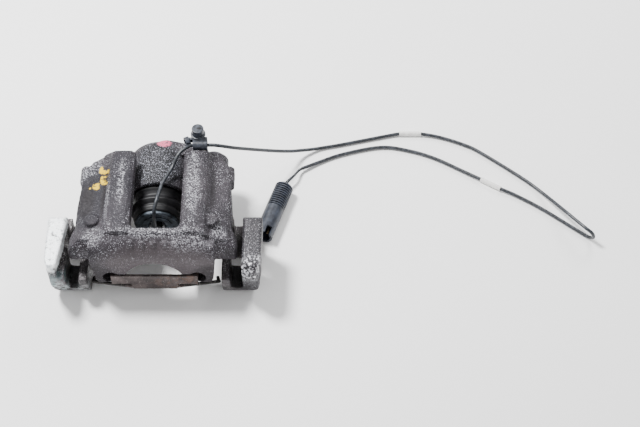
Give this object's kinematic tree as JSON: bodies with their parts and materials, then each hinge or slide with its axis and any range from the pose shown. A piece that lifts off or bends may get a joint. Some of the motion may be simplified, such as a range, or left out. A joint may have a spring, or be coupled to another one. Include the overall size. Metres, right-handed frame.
{
  "type": "sliding disc brake caliper",
  "caption": "Sliding disc brake caliper on its carrier, with a windowed bridge, one piston and the pad wear sensor's lead ending in a ribbed plug.",
  "frame": {"origin": "centre of the caliper's bounding box in plan, on its base, without the lead and plug that lie on the surface", "axes": "+X across the carrier, +Y along the piston's axis towards the hose port, +Z outwards from the wheel's centre"},
  "size_m": [0.4503, 0.1795, 0.083],
  "materials": {
    "carrier_iron": "worn zinc and bare iron",
    "pin_steel": "zinc plated",
    "housing_iron": "sand cast, worn",
    "bush_rubber": "matte",
    "boot_rubber": "satin",
    "retainer_steel": "rusted",
    "cap_rubber": "satin",
    "lead_sheath": "satin",
    "bush_cap": "matte",
    "piston_steel": "turned",
    "sensor_plastic": "matte",
    "clip_steel": "bright",
    "bleed_steel": "aged zinc",
    "sleeve_plastic": "matte",
    "plug_plastic": "satin",
    "contact_brass": "bright"
  },
  "bodies": {
    "carrier": {"carrier": "carrier_iron", "guide_pin_left": "pin_steel", "guide_pin_right": "pin_steel", "sensor_lead": "lead_sheath", "lead_sleeves": "sleeve_plastic", "lead_cores": "lead_sheath", "plug_grip": "plug_plastic", "plug_shell": "plug_plastic", "plug_contacts": "contact_brass"},
    "housing": {"caliper_housing": "housing_iron", "guide_bush_left": "bush_rubber", "guide_bush_right": "bush_rubber", "piston_seal": "bush_rubber", "dust_boot": "boot_rubber", "retainer_spring": "retainer_steel", "bleed_cap": "cap_rubber", "sensor_lead_upper": "lead_sheath"},
    "piston": {"piston": "piston_steel", "sensor_head": "sensor_plastic", "sensor_clip": "clip_steel"},
    "bleed_screw": {"bleed_screw": "bleed_steel"},
    "bush_cap_left": {"bush_cap_left": "bush_cap"},
    "bush_cap_right": {"bush_cap_right": "bush_cap"}
  },
  "joints": [
    {"name": "housing_slide", "type": "slide", "parent": "carrier", "child": "housing", "axis": [0, 1, 0], "range_m": [-0.012, 0.003], "deforming": ["sensor_lead"]},
    {"name": "piston_slide", "type": "slide", "parent": "housing", "child": "piston", "axis": [0, 1, 0], "range_m": [-0.003, 0.02], "deforming": ["dust_boot", "sensor_lead_upper"]},
    {"name": "bleed_screw_turn", "type": "hinge", "parent": "housing", "child": "bleed_screw", "pos_m": [0.0333, 0.05225, 0.052], "axis": [0, 0, 1], "range_deg": [0, 330]},
    {"name": "bush_cap_left_pull", "type": "slide", "parent": "housing", "child": "bush_cap_left", "axis": [0, 1, 0], "range_m": [0, 0.012]},
    {"name": "bush_cap_right_pull", "type": "slide", "parent": "housing", "child": "bush_cap_right", "axis": [0, 1, 0], "range_m": [0, 0.012]}
  ]
}
